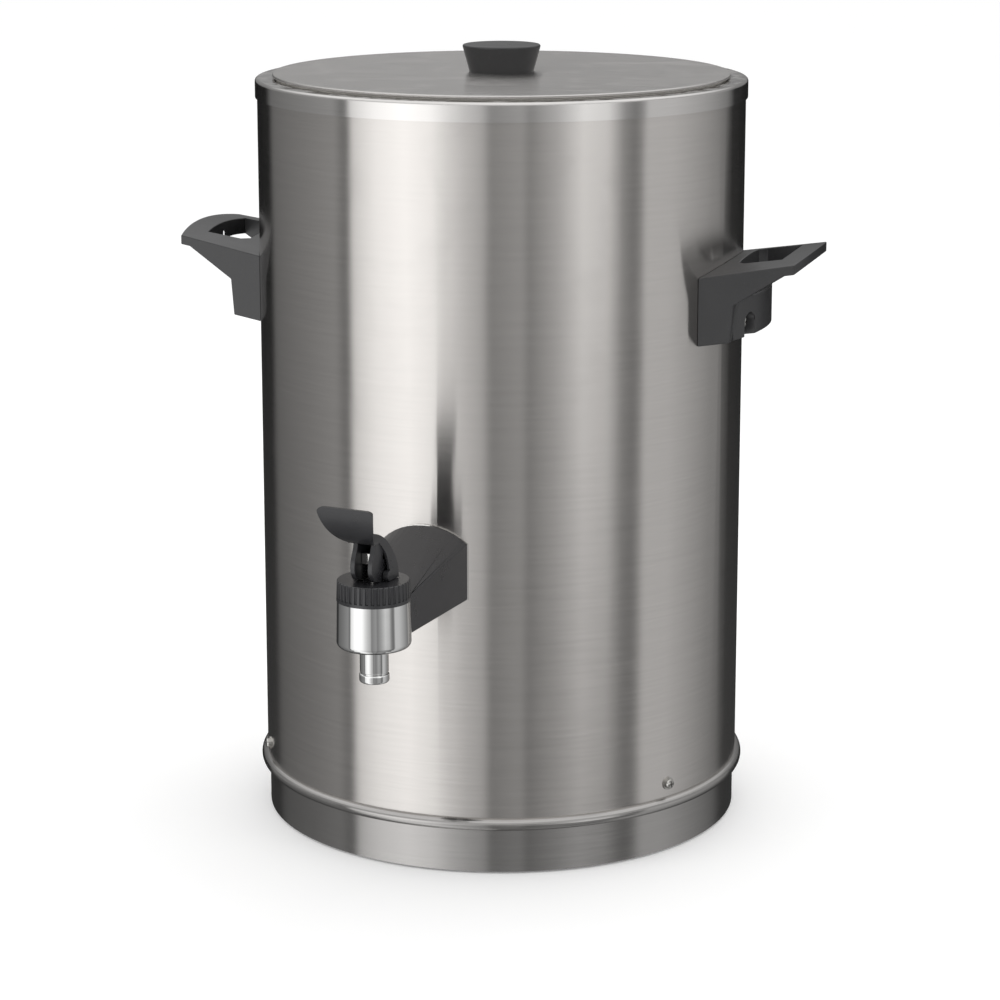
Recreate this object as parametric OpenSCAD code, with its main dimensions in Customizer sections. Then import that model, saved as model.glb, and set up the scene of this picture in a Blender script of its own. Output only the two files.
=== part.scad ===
// Hot water urn: a double-walled steel cylinder with a lift-off lid, two side handles,
// a raised tap at the front and a heated floor above a hollow base.
// Origin: on the urn's axis, at the level of the table. +Z is up, -Y is the front (the tap's side).

/* [Body] */
// Outside diameter of the shell
body_d = 320; // [310:1:330]
// Thickness of the shell's sheet
shell_t = 0.8; // [0.6:0.1:1]
// Height of the rim's top face above the table
rim_top = 493.5; // [485:0.5:505]
// Height of the rim band that is seen from outside
rim_band_h = 12; // [8:0.5:16]
// Thickness of the rim's sheet
rim_t = 1.2; // [1:0.1:1.3]
// Rounding of the rim's upper edge
rim_round = 2; // [1.6:0.1:2.6]
// Diameter of the mouth inside the rim
mouth_d = 287; // [286:0.5:288]

/* [Base] */
// Gap between the skirt's lower edge and the table
skirt_gap = 1.5; // [1:0.1:2.5]
// How far the skirt stands in from the shell
skirt_step = 1.5; // [1:0.1:2]
// Height of the bead's centre above the table
bead_z = 34; // [30:0.5:38]
// Radius of the half-round bead
bead_r = 4; // [3.4:0.1:4.4]
// Thickness of the base ring's sheet
base_t = 1; // [0.8:0.1:1.1]
// Height of the three screws that hold the base ring
base_screw_z = 47; // [45:0.5:52]
// Underside of the base plate above the table
plate_z = 6.8; // [6.2:0.1:8]
// Thickness of the base plate
plate_t = 1.2; // [1:0.1:1.5]
// Diameter of a rubber foot
foot_d = 20; // [18:1:22]
// Distance of the feet from the axis
foot_place_r = 128; // [122:1:130]

/* [Vessel] */
// Outside diameter of the inner vessel
vessel_d = 292; // [291:0.5:293]
// Thickness of the vessel's sheet
vessel_t = 0.8; // [0.6:0.1:0.9]
// Underside of the vessel above the table
vessel_z = 170; // [164:1:172]
// Corner radius of the vessel's floor
vessel_corner = 8; // [6:0.5:8]
// Thickness of the insulation around the vessel
jacket_t = 6.3; // [4:0.1:6.5]

/* [Heater] */
// Diameter of the heat spreader plate
spreader_d = 190; // [180:1:200]
// Thickness of the heat spreader plate
spreader_t = 4; // [3:0.5:5]
// Diameter of the ring element, on its tube's centre line
element_d = 150; // [140:1:156]
// Diameter of the element's tube
element_tube_d = 7; // [6:0.5:7.5]
// Diameter of a disc thermostat
stat_d = 24; // [20:1:26]
// Distance of the thermostats from the axis
stat_place_r = 118; // [116:1:120]
// Underside of the heat shield above the table
shield_z = 116.8; // [112:0.5:120]
// Thickness of the insulation pad on the heat shield
pad_t = 16; // [10:1:18]

/* [Tap] */
// Distance of the tap's axis from the urn's axis
tap_reach = 254; // [250:1:260]
// Diameter of the tap's body, at its widest
tap_d = 45.2; // [44:0.1:46]
// How much slimmer the tap's body is at its top, on the radius
tap_draft = 0.5; // [0.2:0.1:0.8]
// Underside of the tap's body above the table
tap_z = 176.8; // [176:0.1:178]
// Height of the tap's body
tap_h = 28.9; // [28.5:0.1:31]
// Height of the knurled bonnet
bonnet_h = 12.7; // [11.5:0.1:13.5]
// Number of flutes around the bonnet
bonnet_flutes = 40; // [32:1:44]
// Height of the shank's centre line above the table
shank_z = 192; // [191.5:0.1:192.5]
// Outside diameter of the shank
shank_d = 16; // [15:0.5:17]
// Bore of the shank
shank_bore = 12; // [10:0.5:13]
// Outside diameter of the spout
spout_d = 17.5; // [17:0.1:18.5]
// Bore of the spout
spout_bore = 11; // [9:0.5:12]
// Length of the spout below the tap's body
spout_l = 22.2; // [19:0.1:24]
// Width of the arm cover at the shell
arm_w = 56; // [52:1:60]
// Width of the arm cover at the tap
arm_tap_w = 33.6; // [32:0.2:35]
// Height of the arm cover's shoulders at the shell
arm_side_h = 37.3; // [35:0.1:39]
// Rise of the arm cover's arch at the shell
arm_arch = 12.4; // [10:0.1:14]
// Height of the arm cover at the tap
arm_tap_h = 23.4; // [21:0.1:24.5]
// How much lower the arm cover's underside lies at the tap than at the shell
arm_drop = 1.3; // [0:0.1:2]
// Wall of the arm cover
arm_wall = 2.2; // [1.8:0.1:2.6]

/* [Lever] */
// Turn of the lever about the tap's axis, away from straight ahead
lever_turn = 8; // [0:1:15]
// Height of the lever's pin above the bonnet
pin_h = 15; // [14:0.5:16]
// Diameter of the lever's pin
pin_d = 4; // [3:0.1:4.5]
// Lift of the valve when the lever is down
valve_lift = 2.5; // [2:0.1:3]
// Angle that the lever turns through
lever_swing = 26; // [24:1:30]
// Thickness of a cheek of the fork
cheek_t = 3.1; // [2.6:0.1:3.3]
// Width of the paddle at its tip
paddle_w = 38.4; // [34:0.2:40]
// Thickness of the paddle
paddle_t = 3; // [2.4:0.1:3.4]
// Radius of the paddle's sweep, on its underside
paddle_r = 35; // [33:0.5:38]
// Half width of the lever's hood at its feet
hood_foot_w = 11.9; // [11.4:0.1:13]
// Depth of the lever's hood behind the pin
hood_rear = 10; // [9.5:0.1:11]

/* [Handles] */
// Height of the handle's top at the shell
handle_z = 378.9; // [360:0.5:390]
// Slope of the handle, rising outwards, in degrees
handle_slope = 8.4; // [6:0.1:10]
// Reach of the handle's outer edge from the urn's axis, at its middle
handle_reach = 214; // [210:0.5:216]
// Half width of the handle at its outer corners
handle_tip_w = 50.6; // [49:0.1:53]
// Half width of the handle at the shell
handle_root_w = 59; // [57:0.5:61]
// How far the handle's outer edge bows out between its corners
handle_bow = 5.6; // [4.5:0.1:6.5]
// Thickness of the handle's lip
lip_t = 6.2; // [5.5:0.1:7]
// Width of the handle's lip, beyond its gussets
lip_w = 12; // [11:0.5:14]
// Rise of the handle's crown
crown = 3.5; // [2.5:0.1:4.5]
// Height of the handle at the shell
handle_h = 44.5; // [43:0.5:47]
// Width of the grip bar in the middle
grip_w = 15.2; // [13:0.1:17]
// Half width of the finger opening
finger_w = 32.5; // [31:0.5:34]
// Distance between the middle of the handle and a screw
handle_screw_y = 31; // [29:0.5:32]
// Height of the handle's screws above its lower edge
handle_screw_up = 9.5; // [8.5:0.1:10.5]

/* [Lid] */
// Diameter of the lid
lid_d = 300; // [298:0.5:302]
// Thickness of the lid's folded edge
lid_edge = 2; // [1.8:0.1:2.4]
// Gap between the lid's edge and the rim
lid_gap = 1; // [0.8:0.1:1.4]
// Depth of the lid's pan below the rim
pan_depth = 23.5; // [18:0.5:28]
// Diameter of the knob at its foot
knob_foot_d = 42; // [38:0.5:46]
// Diameter of the knob at its top
knob_top_d = 51; // [48:0.5:56]
// Height of the knob
knob_h = 17.8; // [16:0.1:22]

/* [Inlet] */
// Height of the appliance inlet's centre above the table
inlet_z = 75; // [75:1:80]
// Width of the inlet's flange
inlet_w = 50; // [48:1:52]
// Height of the inlet's flange
inlet_h = 24; // [23.5:0.5:26]

/* [Hidden] */
$fn = 96;

// Clearances
bolt_clear = 0.1;        // a screw's shank in a plain hole, on the radius
run_clear = 0.05;        // a shaft in its running bore, on the radius
side_clear = 0.3;        // between faces that pass each other
seat_clear = 0.2;        // between a soft piece and the wall beside it

// Body, from the shell outwards and inwards
body_r = body_d / 2;
shell_in = body_r - shell_t;
rim_clear = 0.15;
rim_out = body_r + rim_clear + rim_t;
rim_under = rim_top - rim_t;
mouth_r = mouth_d / 2;
rim_turn_h = 5.5;        // height of the rim's inner turned-down edge
skirt_r = body_r - skirt_step;
spigot_r = shell_in - seat_clear;
spigot_h = 20;           // height of the base ring's spigot inside the shell
shell_foot = bead_z + bead_r;
hem_h = 4.5;             // height of the skirt's folded hem

// Screws
m4_r = 2;
m4_head_r = 3.6;
m4_head_h = 2.4;
foot_wall_h = 4.8;       // height of a foot's upright side
foot_head_z = 3;         // underside of the screw's head in the foot
foot_head_h = 2;
washer_r = 4.3;
washer_t = 0.8;
base_screw_angles = [-150, -30, 90];
foot_angles = [45, 135, 225, 315];
plate_screw_angles = [0, 90, 180, 270];

// Base
support_z = plate_z + plate_t;
support_t = 1.2;
support_in = body_r - 17;
support_out = skirt_r - base_t;
support_h = 16;
plate_r = support_out - 2;
plate_screw_r = body_r - 11;
vent_count = 6;
vent_l = 40;
vent_w = 5;
vent_place_r = 70;

// Vessel
vessel_r = vessel_d / 2;
vessel_in = vessel_r - vessel_t;
flange_r = rim_out - rim_round;  // it rests on the shell's top edge, under the flat of the rim
stud_r = 4;
stud_foot = shield_z - 8;

// Heater, hung below the vessel's floor
spreader_z = vessel_z - spreader_t;
element_r = element_tube_d / 2;
element_z = spreader_z - element_r;
element_half_gap = 20;   // half of the gap between the element's ends, in degrees
element_tail = 19;       // reach of the element's rods below its tube
clamp_t = 1.2;
clamp_z = element_z - element_r - clamp_t;
stat_h = 12;
stat_z = vessel_z - stat_h;
stat_angles = [120, 60]; // control thermostat, thermal cutout
tab_place = 6;           // distance of a tab from the thermostat's middle
tab_l = 7;
bracket_t = 1.2;
bracket_stud_r = 1.5;
bracket_reach = stat_d / 2 + 5;
shield_t = 1.2;
shield_r = vessel_r + 6;
pad_z = shield_z + shield_t;
grommet = [0, vessel_r - 24, 10];  // x, y and radius of the wires' way through

// Tap
tap_r = tap_d / 2;
tap_top = tap_z + tap_h;
bonnet_top = tap_top + bonnet_h;
tap_round = 3.5;
bonnet_r = tap_r - 0.25;
bonnet_draft = 0.4;
chamber_r = tap_r - 4.4;
chamber_z = tap_z + 3.5;
seat_z = chamber_z + 2.5;
spout_rim = 0.4;         // how far the spout's rim stands out, and its groove in
spout_rim_h = 5.6;
shank_r = shank_d / 2;
shank_end = vessel_in - 10;
neck_r = spout_bore / 2 + 1.6;
spout_end = tap_z - spout_l;
stem_r = 2.5;
stem_foot = seat_z + 2;
cup_r = 9.5;
cup_h = 6;
collar_z = seat_z + cup_h + 1;
collar_r = 7;
collar_t = 1.5;
plug_h = 7;              // length of the bonnet's threaded plug inside the body
spring_top = tap_top + 3;
spring_r = 5.4;
spring_wire = 1.1;
spring_turns = 6;
seal_t = 3;
nut_af = 22;
plate_sheet = 1.2;
plate_edge = 0.5;
arm_foot = tap_z + 5.5;

// Lever, in a frame on its pin: x across, y ahead and z up
pin_r = pin_d / 2;
pin_z = bonnet_top + pin_h;
lever_foot = side_clear - pin_h;
tang_w = 8;
tang_front = 6.8;
tang_back = 4.8;
tang_top = 2.9;
tang_foot = -5.5;
fork_in = tang_w / 2 + side_clear;
fork_out = fork_in + cheek_t;
cam_pitch = valve_lift / (lever_swing * PI / 180);
roof_z = 9.3;            // underside of the hood's roof and of the paddle's root
hood_wall = 1.8;
hood_back_wall = 2.6;
lug_front = 3.6;
lug_h = 6.2;
paddle_root = [13.1, roof_z];
paddle_root_w = 7.5;
paddle_rise = [19, 79];  // slope of the paddle at its root and at its tip, in degrees
paddle_corner = 5;
paddle_centre = paddle_root + paddle_r * [-sin(paddle_rise[0]), cos(paddle_rise[0])];
paddle_tip = paddle_centre + paddle_r * [sin(paddle_rise[1]), -cos(paddle_rise[1])];

// Handles
crown_r = (handle_tip_w * handle_tip_w + crown * crown) / (2 * crown);
tip_corner = handle_reach - handle_bow;
bow_r = (handle_tip_w * handle_tip_w + handle_bow * handle_bow) / (2 * handle_bow);
lip_start = handle_reach - lip_w;
handle_in = body_r - 11; // where the handle's outline starts, inside the shell
handle_cut = 25;         // how far the handle's blocks reach inwards before the shell cuts them
barrel_reach = body_r + 21;
barrel_half = 50;
barrel_edge = body_r + 9;
barrel_sag = barrel_reach - barrel_edge;
barrel_r = (barrel_half * barrel_half + barrel_sag * barrel_sag) / (2 * barrel_sag);
barrel_top = handle_z - 16.9;
gusset_foot = [body_r + 11, handle_z - 19.9];
finger_start = body_r + 8;
finger_corner = 5;
screw_seat = body_r + 11;
handle_screw_l = 20.5;
backing_t = 2;
backing_half = handle_root_w - 20;
backing_h = 16;
weld_nut_d = 8;
weld_nut_h = 3.2;
recess_r = 6.2;
handle_screw_z = handle_z - handle_h + handle_screw_up + 1.1;

// Lid
lid_r = lid_d / 2;
lid_under = rim_top + lid_gap;
lid_top = lid_under + lid_edge;
lid_t = 1;
lid_hem_w = 2.5;
pan_r = mouth_r - 4.5;
pan_t = 0.8;
pan_z = rim_top - pan_depth;
knob_round = 1.2;
knob_screw_r = 2.5;
knob_screw_l = 11.5;

// Inlet
inlet_body = [27, 19.4];
inlet_cup = [24, 16.4];
inlet_face = body_r + 5;
inlet_flange_t = 3;
inlet_floor = inlet_face - 15;
inlet_back = inlet_floor - 4;
inlet_pin_x = 7;
inlet_screw_x = 20;
pin_tail = inlet_back - 7;
bezel_w = inlet_w + 14;
bezel_h = inlet_h + 8;

// Wires
wire_r = 1.4;
wire_end = 1.5;          // straight end of a wire at its terminal
inlet_live = [-inlet_pin_x, pin_tail, inlet_z - 2];
inlet_neutral = [inlet_pin_x, pin_tail, inlet_z - 2];
inlet_earth = [0, pin_tail, inlet_z + 3];
earth_place = [28, vessel_r - 24, shield_z];

steel = "#b9b7b3";
bright = "#d8d8d8";
black = "#3a3a3b";
wool = "#d9cfa6";

// ---- helpers -------------------------------------------------------------------------------------

function arc(c, r, a0, a1, n = 10) =
    [for (i = [0:n]) let (a = a0 + (a1 - a0) * i / n) [c[0] + r * cos(a), c[1] + r * sin(a)]];

function at_angle(r, a, z = 0) = [r * cos(a), r * sin(a), z];

function unit(v) = v / norm(v);

// A smooth line through points, three steps between each two
function smooth(p, n = 3) = concat(
    [for (i = [0:len(p) - 2], k = [0:n - 1])
        let (t = k / n, a = p[max(i - 1, 0)], b = p[i], c = p[i + 1], d = p[min(i + 2, len(p) - 1)])
        0.5 * ((2 * b) + (c - a) * t + (2 * a - 5 * b + 4 * c - d) * t * t
            + (3 * b - a - 3 * c + d) * t * t * t)],
    [p[len(p) - 1]]);

// A round tube of one radius along a line of points
module tube(path, r, sides = 8) {
    last = len(path) - 1;
    rings = [for (i = [0:last])
        let (t = unit(path[min(i + 1, last)] - path[max(i - 1, 0)]),
             u = unit(cross(t, [0.83, 0.21, 0.52])), v = cross(t, u))
        for (k = [0:sides - 1]) path[i] + r * (cos(360 * k / sides) * u + sin(360 * k / sides) * v)];
    walls = [for (i = [0:last - 1], k = [0:sides - 1])
        let (a = i * sides + k, b = i * sides + (k + 1) % sides)
        each [[a, b, b + sides], [a, b + sides, a + sides]]];
    near = [for (k = [1:sides - 2]) [0, k + 1, k]];
    far = [for (k = [1:sides - 2]) [last * sides, last * sides + k, last * sides + k + 1]];
    polyhedron(rings, concat(walls, near, far));
}

// A ring with a rectangular section
module ring(r_in, r_out, z0, z1) {
    translate([0, 0, z0]) difference() {
        cylinder(r = r_out, h = z1 - z0);
        translate([0, 0, -1]) cylinder(r = r_in, h = z1 - z0 + 2);
    }
}

// A pan-head cross-recess screw: its head's underside at the origin, its shank along -Z
module pan_screw(shank_r, shank_l, head_r, head_h) {
    slot = head_r * 0.26;
    difference() {
        union() {
            translate([0, 0, -shank_l]) cylinder(r = shank_r, h = shank_l + head_h / 2);
            rotate_extrude() polygon([[0, 0], [head_r, 0], [head_r, head_h * 0.45],
                [head_r * 0.86, head_h * 0.8], [head_r * 0.5, head_h], [0, head_h]]);
        }
        for (a = [0, 90]) rotate(a)
            translate([-head_r * 0.62, -slot / 2, head_h * 0.35]) cube([head_r * 1.24, slot, head_h]);
    }
}

module hex_nut(af, h, bore_r) {
    difference() {
        cylinder(d = af / cos(30), h = h, $fn = 6);
        translate([0, 0, -1]) cylinder(r = bore_r, h = h + 2);
    }
}

module place_at(r, a, z = 0) {
    translate(at_angle(r, a, z)) rotate(a) children();
}

// Turns a shape that is drawn upwards so that it points away from the axis
module outwards() {
    rotate([0, 90, 0]) children();
}

// ---- body and base -------------------------------------------------------------------------------

module outer_shell() {
    color(steel) difference() {
        ring(shell_in, body_r, shell_foot, rim_under - vessel_t);
        for (a = base_screw_angles) place_at(shell_in - 2, a, base_screw_z)
            outwards() cylinder(r = m4_r + bolt_clear, h = 5);
        for (side = [0, 180], y = [-1, 1]) rotate(side)
            translate([body_r - 12, y * handle_screw_y, handle_screw_z])
                outwards() cylinder(r = m4_r + bolt_clear, h = 16);
        translate([0, -shell_in + 4, shank_z]) rotate([90, 0, 0]) cylinder(r = shank_r + seat_clear, h = 8);
        translate([-inlet_body[0] / 2 - 1, shell_in - 4, inlet_z - inlet_body[1] / 2 - 1])
            cube([inlet_body[0] + 2, 8, inlet_body[1] + 2]);
        for (x = [-1, 1]) translate([x * inlet_screw_x, shell_in - 6, inlet_z])
            rotate([-90, 0, 0]) cylinder(r = 1.6 + bolt_clear, h = 10);
    }
}

module base_ring() {
    centre = [body_r + 0.1, bead_z];
    inner_r = bead_r - base_t;
    foot_turn = acos((skirt_r - centre[0]) / bead_r);
    inner_turn = acos(max((skirt_r - base_t - centre[0]) / inner_r, -0.98));
    color(steel) difference() {
        rotate_extrude() polygon(concat(
            [[skirt_r - 2.2 * base_t, skirt_gap], [skirt_r, skirt_gap]],
            arc(centre, bead_r, -foot_turn, 90, 14),
            [[spigot_r, shell_foot], [spigot_r, shell_foot + spigot_h],
             [spigot_r - base_t, shell_foot + spigot_h], [spigot_r - base_t, shell_foot - base_t],
             [centre[0], shell_foot - base_t]],
            arc(centre, inner_r, 88, -inner_turn, 14),
            [[skirt_r - base_t, skirt_gap + hem_h], [skirt_r - 2.2 * base_t, skirt_gap + hem_h]]));
        for (a = base_screw_angles) place_at(spigot_r - 4, a, base_screw_z)
            outwards() cylinder(r = m4_r, h = 8);
    }
}

module base_support_ring() {
    color("silver") difference() {
        union() {
            ring(support_out - support_t, support_out, support_z, support_z + support_h);
            ring(support_in, support_out - support_t / 2, support_z, support_z + support_t);
        }
        for (a = plate_screw_angles) translate(at_angle(plate_screw_r, a, support_z - 1))
            cylinder(r = m4_r, h = 4);
    }
}

module vent_slot() {
    for (y = [-1, 1]) translate([0, y * (vent_l - vent_w) / 2, -1]) cylinder(d = vent_w, h = plate_t + 2);
    translate([-vent_w / 2, -(vent_l - vent_w) / 2, -1]) cube([vent_w, vent_l - vent_w, plate_t + 2]);
}

module base_plate() {
    color("silver") translate([0, 0, plate_z]) difference() {
        cylinder(r = plate_r, h = plate_t);
        for (a = plate_screw_angles) translate(at_angle(plate_screw_r, a, -1))
            cylinder(r = m4_r + bolt_clear, h = plate_t + 2);
        for (a = foot_angles) translate(at_angle(foot_place_r, a, -1))
            cylinder(r = m4_r + bolt_clear, h = plate_t + 2);
        for (i = [0:vent_count - 1]) place_at(vent_place_r, 360 * i / vent_count) vent_slot();
    }
}

module base_plate_screws() {
    color(bright) for (a = plate_screw_angles) translate(at_angle(plate_screw_r, a, plate_z))
        mirror([0, 0, 1]) pan_screw(m4_r, 8, m4_head_r, m4_head_h);
}

module base_ring_screws() {
    color(bright) for (a = base_screw_angles) place_at(body_r + washer_t, a, base_screw_z)
        outwards() pan_screw(m4_r, 9, 3.2, m4_head_h);
}

module base_ring_washers() {
    color(bright) for (a = base_screw_angles) place_at(body_r, a, base_screw_z)
        outwards() ring(m4_r + bolt_clear, washer_r, 0, washer_t);
}

// Rubber feet, each moulded around the head of its own screw
module feet() {
    r = foot_d / 2;
    color("#2b2b2b") for (a = foot_angles) translate(at_angle(foot_place_r, a)) difference() {
        rotate_extrude() polygon([[0, 0], [r, 0], [r, foot_wall_h], [r - 1.5, plate_z], [0, plate_z]]);
        translate([0, 0, foot_head_z]) cylinder(r = m4_head_r, h = foot_head_h);
        translate([0, 0, foot_head_z]) cylinder(r = m4_r, h = plate_z);
    }
}

module foot_screws() {
    inside = plate_z + plate_t;
    for (a = foot_angles) color(bright) translate(at_angle(foot_place_r, a)) {
        translate([0, 0, foot_head_z]) cylinder(r = m4_head_r, h = foot_head_h);
        translate([0, 0, foot_head_z]) cylinder(r = m4_r, h = inside + 4.6 - foot_head_z);
        translate([0, 0, inside]) hex_nut(7, 3.2, m4_r);
    }
}

module rim_ring() {
    c = [rim_out - rim_round, rim_top - rim_round];
    color(bright) rotate_extrude() polygon(concat(
        [[rim_out - rim_t, rim_top - rim_band_h], [rim_out, rim_top - rim_band_h]],
        arc(c, rim_round, 0, 90, 8),
        [[mouth_r + 1, rim_top]], arc([mouth_r + 1, rim_top - 1], 1, 90, 180, 5),
        [[mouth_r, rim_top - rim_turn_h], [mouth_r + rim_t, rim_top - rim_turn_h],
         [mouth_r + rim_t, rim_under]],
        arc(c, rim_round - rim_t, 90, 0, 5)));
}

// ---- vessel and insulation -----------------------------------------------------------------------

module inner_vessel() {
    top = rim_under;
    color(steel) {
        difference() {
            rotate_extrude() polygon(concat(
                [[0, vessel_z]],
                arc([vessel_r - vessel_corner, vessel_z + vessel_corner], vessel_corner, -90, 0, 10),
                [[vessel_r, top - vessel_t], [flange_r, top - vessel_t], [flange_r, top],
                 [vessel_in, top]],
                arc([vessel_r - vessel_corner, vessel_z + vessel_corner],
                    vessel_corner - vessel_t, 0, -90, 10),
                [[0, vessel_z + vessel_t]]));
            translate([0, -vessel_in + 3, shank_z]) rotate([90, 0, 0])
                cylinder(r = shank_r + bolt_clear, h = 8);
        }
        translate([0, 0, stud_foot]) cylinder(r = stud_r, h = vessel_z + vessel_t / 2 - stud_foot);
        for (a = stat_angles, s = [-1, 1]) place_at(stat_place_r, a)
            translate([0, s * bracket_reach, stat_z - 5])
                cylinder(r = bracket_stud_r, h = vessel_z + vessel_t / 2 - stat_z + 5);
    }
}

module insulation_jacket() {
    color(wool) difference() {
        ring(vessel_r + seat_clear, vessel_r + seat_clear + jacket_t,
             vessel_z + vessel_corner + 2, rim_under - vessel_t - 6);
        translate([0, -vessel_r + 4, shank_z]) rotate([90, 0, 0])
            cylinder(r = nut_af / 2 / cos(30) + 2, h = 20);
    }
}

module insulation_pad() {
    color(wool) difference() {
        ring(stud_r + 5, shield_r - 2, pad_z, pad_z + pad_t);
        translate([grommet[0], grommet[1], pad_z - 1]) cylinder(r = grommet[2], h = pad_t + 2);
        translate([earth_place[0], earth_place[1], pad_z - 1]) cylinder(r = 5, h = pad_t + 2);
    }
}

module heat_shield() {
    color("silver") difference() {
        union() {
            ring(stud_r + bolt_clear, shield_r, shield_z, pad_z);
            ring(shield_r - shield_t, shield_r, shield_z, shield_z + 12);
            translate(earth_place - [0, 0, 12]) cylinder(r = m4_r, h = 12.5);
        }
        translate([grommet[0], grommet[1], shield_z - 1]) cylinder(r = grommet[2] - 1, h = 4);
    }
}

module shield_nut() {
    color(bright) translate([0, 0, shield_z - 6.5]) hex_nut(13, 6.5, stud_r);
}

// ---- heater --------------------------------------------------------------------------------------

module heater_plate() {
    color("lightgray") ring(stud_r + bolt_clear, spreader_d / 2, spreader_z, vessel_z);
}

module heating_element() {
    color("#6f6a62") {
        rotate(90 + element_half_gap) rotate_extrude(angle = 360 - 2 * element_half_gap)
            translate([element_d / 2, element_z]) circle(r = element_r, $fn = 48);
        for (s = [-1, 1]) translate(at_angle(element_d / 2, 90 + s * (element_half_gap - 2))) {
            translate([0, 0, element_z - 13]) cylinder(r = element_r + 1, h = 13 + element_r);
            translate([0, 0, element_z - element_tail]) cylinder(r = 1.6, h = 8);
        }
    }
}

module heater_clamp() {
    color("silver") translate([0, 0, clamp_z]) difference() {
        union() for (a = [30, 150, 270]) rotate(a)
            translate([0, -11, 0]) cube([element_d / 2 + 9, 22, clamp_t]);
        translate([0, 0, -1]) cylinder(r = stud_r + bolt_clear, h = clamp_t + 2);
    }
}

module heater_nut() {
    color(bright) {
        translate([0, 0, clamp_z - 1.6]) ring(stud_r + bolt_clear, 8, 0, 1.6);
        translate([0, 0, clamp_z - 8.1]) hex_nut(13, 6.5, stud_r);
    }
}

module disc_thermostat(a, reset) {
    place_at(stat_place_r, a) {
        color("#e8e4da") translate([0, 0, stat_z + 3]) cylinder(d = stat_d, h = stat_h - 3);
        color("#2d2a28") translate([0, 0, stat_z]) cylinder(d = stat_d - 6, h = 3.2);
        color("gold") for (x = [-1, 1]) translate([x * tab_place - 0.4, -2.5, stat_z - tab_l])
            cube([0.8, 5, tab_l + 0.2]);
        if (reset) color("red") translate([0, 0, stat_z - 2.4 - bracket_t])
            cylinder(r = 1.9, h = 2.6 + bracket_t);
    }
}

module control_thermostat() {
    disc_thermostat(stat_angles[0], false);
}

module thermal_cutout() {
    disc_thermostat(stat_angles[1], true);
}

module thermostat_brackets() {
    color("silver") for (a = stat_angles) place_at(stat_place_r, a, stat_z - bracket_t) difference() {
        translate([-4, -bracket_reach - 4, 0]) cube([8, 2 * bracket_reach + 8, bracket_t]);
        for (s = [-1, 1]) translate([0, s * bracket_reach, -1])
            cylinder(r = bracket_stud_r + bolt_clear, h = bracket_t + 2);
        translate([0, 0, -1]) cylinder(r = 2.2, h = bracket_t + 2);
    }
}

module bracket_nuts() {
    color(bright) for (a = stat_angles, s = [-1, 1]) place_at(stat_place_r, a, stat_z - bracket_t - 2.4)
        translate([0, s * bracket_reach, 0]) hex_nut(5.5, 2.4, bracket_stud_r);
}

// ---- wiring --------------------------------------------------------------------------------------

// The ends of the thermostats' tabs and of the element's two rods
function stat_tab(i, s) = at_angle(stat_place_r + s * tab_place, stat_angles[i], stat_z - tab_l);
function element_end(s) =
    at_angle(element_d / 2, 90 + s * (element_half_gap - 2), element_z - element_tail);

// A wire's line through points, with a short straight end along each terminal
module wire(points, start, end) {
    last = len(points) - 1;
    tube(concat([points[0]],
        smooth(concat([points[0] + wire_end * start], [for (i = [1:last - 1]) points[i]],
            [points[last] - wire_end * end])),
        [points[last]]), wire_r);
}

// A wire from the inlet, up through the grommet, to a point below the vessel
module riser(from, lane, to) {
    way = [grommet[0] + lane, grommet[1] + 1];
    wire([from, from - [0, 7, -2], [way[0], way[1] - 2, shield_z - 12],
        [way[0], way[1], pad_z + pad_t / 2], [way[0], way[1] - 3, pad_z + pad_t + 4],
        0.5 * ([way[0], way[1] - 3, pad_z + pad_t + 6] + to - [0, 0, 4]), to], [0, -1, 0], [0, 0, 1]);
}

module live_wire() {
    color("#7a4a26") riser(inlet_live, -4, stat_tab(0, 1));
}

module neutral_wire() {
    color("#2f62a8") riser(inlet_neutral, 4, element_end(1));
}

module earth_wire() {
    end = earth_place - [m4_r, 0, 8];
    color("#4c8a3c") wire([inlet_earth, inlet_earth - [-1, 13, -1],
        0.5 * (inlet_earth + end) + [3, -14, 2], end - [6, 1, 1], end], [0, -1, 0], [1, 0, 0]);
}

module link_wires() {
    left = stat_tab(0, -1);
    right = stat_tab(1, 1);
    inner = stat_tab(1, -1);
    rod = element_end(-1);
    high = stat_z - tab_l - 6;
    up = [0, 0, 1];
    color("#7a4a26") {
        wire([left, left + [2, -2, -5], [left[0] / 2, left[1] - 10, high], [0, left[1] - 12, high],
            [right[0] / 2, right[1] - 17, high], right + [-4, -1, -5], right], -up, up);
        wire([inner, inner + [-2, -2, -5], 0.5 * (inner + rod) - [0, 0, 6], rod + [2, 1, -5], rod],
            -up, up);
    }
}

module earth_nut() {
    color(bright) translate(earth_place - [0, 0, 3.2]) hex_nut(7, 3.2, m4_r);
}

// ---- appliance inlet, at the back ----------------------------------------------------------------

// A block that is centred in x and z and runs from y0 to y1
module block(w, h, y0, y1) {
    translate([-w / 2, y0, inlet_z - h / 2]) cube([w, y1 - y0, h]);
}

module inlet_screw_holes(r) {
    for (x = [-1, 1]) translate([x * inlet_screw_x, inlet_face - 18, inlet_z])
        rotate([-90, 0, 0]) cylinder(r = r, h = 30);
}

module pin_bars(extra) {
    for (x = [-1, 1]) translate([x * inlet_pin_x - 1 - extra, pin_tail - extra, inlet_z - 4 - extra])
        cube([2 + 2 * extra, inlet_face - pin_tail + 1 + 2 * extra, 4 + 2 * extra]);
    translate([-2 - extra, pin_tail - extra, inlet_z + 2 - extra])
        cube([4 + 2 * extra, inlet_face - pin_tail + 1 + 2 * extra, 2 + 2 * extra]);
}

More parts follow.
